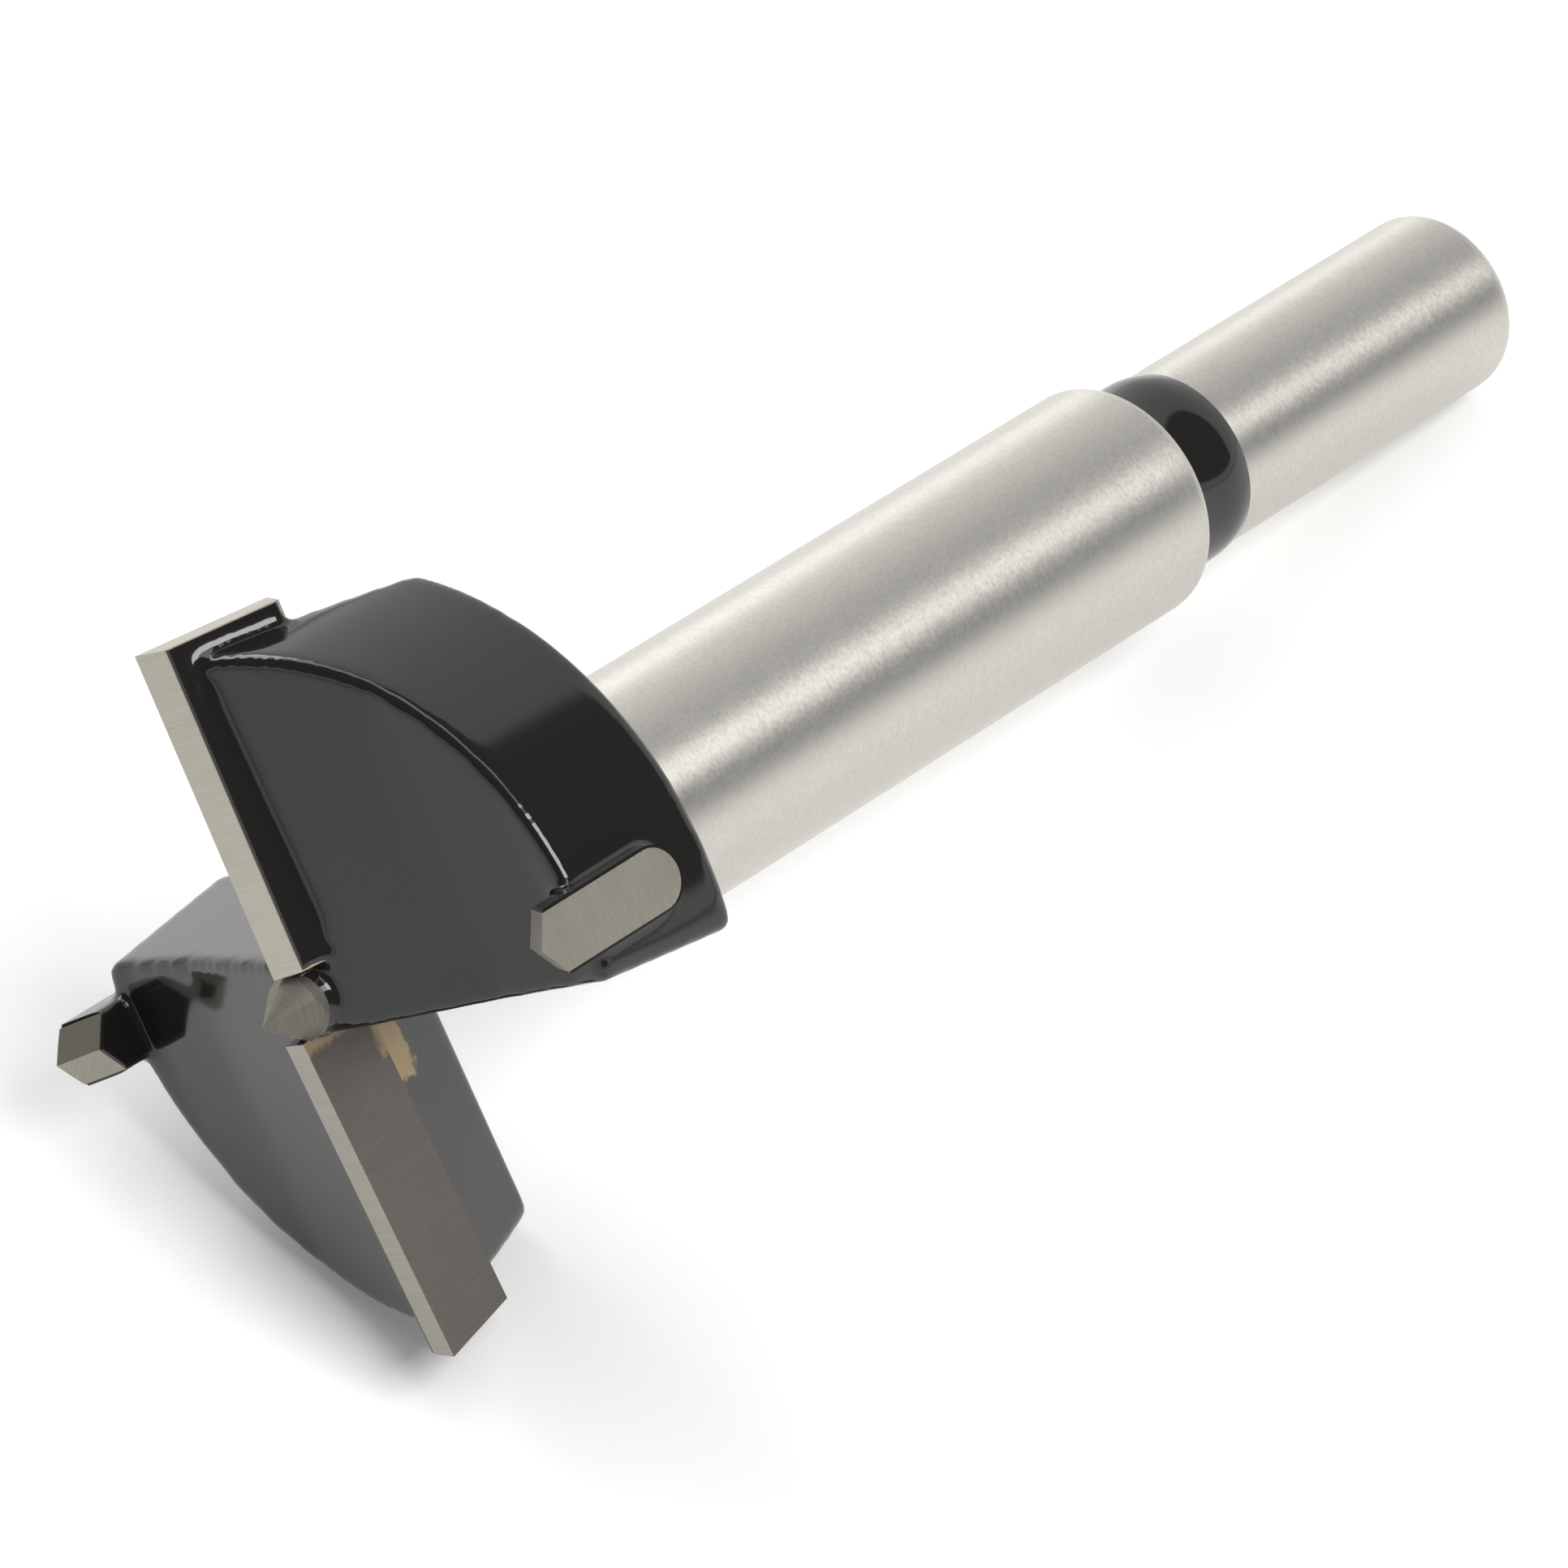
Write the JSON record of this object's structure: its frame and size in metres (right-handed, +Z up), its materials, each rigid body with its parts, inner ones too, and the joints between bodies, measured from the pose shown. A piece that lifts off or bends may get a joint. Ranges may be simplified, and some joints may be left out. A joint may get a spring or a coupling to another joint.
{
  "type": "forstner bit",
  "caption": "Carbide tipped forstner bit with a two-winged head, centre point, rim spurs and stepped shank, lying on its side.",
  "frame": {"origin": "middle of the footprint, on the surface that the bit lies on", "axes": "+X from the tip towards the shank, +Z up; the bit's own axis rises by about 9 degrees towards the tip"},
  "size_m": [0.088, 0.0296, 0.0337],
  "materials": {
    "ground_steel": "cylindrically ground, satin",
    "black_paint": "thick gloss enamel",
    "carbide": "ground tungsten carbide",
    "braze": "brazing metal, dull"
  },
  "bodies": {
    "root": {"bit_body": "ground_steel", "cutting_plate_1": "carbide", "cutting_plate_2": "carbide", "rim_spur_1": "carbide", "rim_spur_2": "carbide"}
  },
  "joints": []
}
